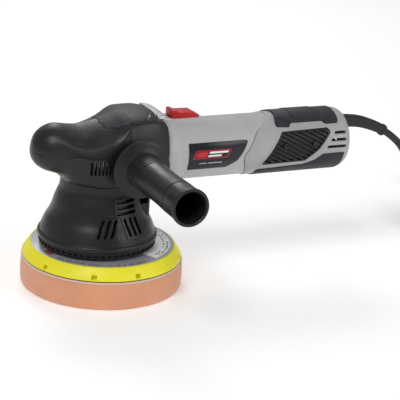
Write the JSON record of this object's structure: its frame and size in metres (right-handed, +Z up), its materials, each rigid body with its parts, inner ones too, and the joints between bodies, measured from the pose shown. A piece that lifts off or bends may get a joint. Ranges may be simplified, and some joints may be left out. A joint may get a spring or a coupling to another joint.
{
  "type": "dual action polisher",
  "caption": "Corded random-orbital polisher: palm-grip head, side handle, grey motor body, red slide switch and an orange foam pad on a yellow backing plate.",
  "frame": {"origin": "on the output spindle's axis, in the plane of the foam pad's working face", "axes": "+Z up along the output spindle, +X along the motor to the cord end, the side handle to -Y"},
  "size_m": [0.5945, 0.3543, 0.1781],
  "materials": {
    "foam": "open-cell polyurethane foam, matt",
    "loop_fleece": "pale pink loop fleece",
    "hook_fabric": "black hook tape",
    "yellow_urethane": "bright yellow moulded urethane, satin",
    "printed_disc": "silver-grey printed film",
    "steel": "ground steel",
    "black_steel": "black oxide steel",
    "cast_steel": "phosphated steel",
    "bearing_steel": "polished bearing steel",
    "gear_steel": "hardened gear steel",
    "cast_aluminium": "die-cast aluminium",
    "black_plastic": "charcoal glass-filled nylon, satin, fine grain",
    "black_rubber": "black rubber",
    "soft_grip": "dark soft-touch rubber",
    "lamination": "laminated electrical steel",
    "copper_wire": "enamelled copper wire",
    "copper": "copper bars",
    "fan_plastic": "black nylon",
    "grey_plastic": "light grey nylon, satin",
    "dark_grey_plastic": "mid grey nylon, satin",
    "plate_film": "dark navy printed film",
    "grille_plastic": "black nylon",
    "brass": "pressed brass",
    "carbon": "pressed carbon",
    "red_plastic": "bright red moulded plastic",
    "natural_plastic": "natural nylon",
    "circuit_board": "green circuit board",
    "capacitor_film": "yellow film capacitor",
    "handle_plastic": "charcoal nylon grip, satin",
    "cord_rubber": "black rubber cable",
    "tie_plastic": "black strap"
  },
  "bodies": {
    "machine": {"lower_bearing": "bearing_steel", "upper_bearing": "bearing_steel", "gear_case": "cast_aluminium", "bearing_plate": "cast_aluminium", "case_screws": "black_steel", "shroud": "black_plastic", "shroud_ring": "black_rubber", "shroud_screws": "black_steel", "head_cover_upper": "black_plastic", "head_cover_lower": "black_plastic", "head_patch": "soft_grip", "cover_screws": "black_steel", "front_bearing": "bearing_steel", "rear_bearing": "bearing_steel", "stator_core": "lamination", "stator_windings": "copper_wire", "motor_housing": "grey_plastic", "name_plates": "plate_film", "rear_cover": "dark_grey_plastic", "rear_top_grip": "soft_grip", "rear_bottom_grip": "soft_grip", "side_grilles": "grille_plastic", "grille_screws": "black_steel", "brush_frame": "fan_plastic", "brush_holders": "brass", "carbon_brushes": "carbon", "brush_springs": "steel", "switch_unit": "fan_plastic", "control_board": "circuit_board", "capacitor": "capacitor_film", "side_handle": "handle_plastic", "handle_stud": "steel", "strain_relief": "cord_rubber", "cord_clamp": "cord_rubber", "cord": "cord_rubber", "cord_coil": "cord_rubber", "cord_tie": "tie_plastic", "plug": "cord_rubber", "plug_pins": "steel"},
    "switch_slider": {"switch_slider": "red_plastic", "switch_link": "natural_plastic"},
    "speed_dial": {"speed_dial": "red_plastic"},
    "armature": {"armature_shaft": "steel", "armature_core": "lamination", "armature_windings": "copper_wire", "commutator": "copper", "cooling_fan": "fan_plastic", "bevel_pinion": "gear_steel"},
    "spindle": {"output_spindle": "steel", "bevel_gear": "gear_steel", "eccentric_weight": "cast_steel", "pad_bearing": "bearing_steel"},
    "pad": {"pad_spindle": "steel", "pad_screw": "black_steel", "plate_hub": "steel", "backing_plate": "yellow_urethane", "plate_sticker": "printed_disc", "hook_layer": "hook_fabric", "loop_layer": "loop_fleece", "foam_pad": "foam"}
  },
  "joints": [
    {"name": "switch_slide", "type": "slide", "parent": "machine", "child": "switch_slider", "axis": [-1, 0, 0], "range_m": [0, 0.005]},
    {"name": "speed_dial_turn", "type": "hinge", "parent": "machine", "child": "speed_dial", "pos_m": [0.2595, 0, 0.1187], "axis": [0, 1, 0], "range_deg": [0, 300]},
    {"name": "spindle_spin", "type": "hinge", "parent": "machine", "child": "spindle", "pos_m": [0, 0, 0.09], "axis": [0, 0, 1], "continuous": true},
    {"name": "armature_spin", "type": "hinge", "parent": "machine", "child": "armature", "pos_m": [0.1, 0, 0.1317], "axis": [1, 0, 0], "continuous": true},
    {"name": "pad_spin", "type": "hinge", "parent": "spindle", "child": "pad", "pos_m": [0.006, 0, 0.045], "axis": [0, 0, 1], "continuous": true}
  ],
  "couplings": [
    {"joint": "armature_spin", "follows": "spindle_spin", "ratio": 3}
  ]
}
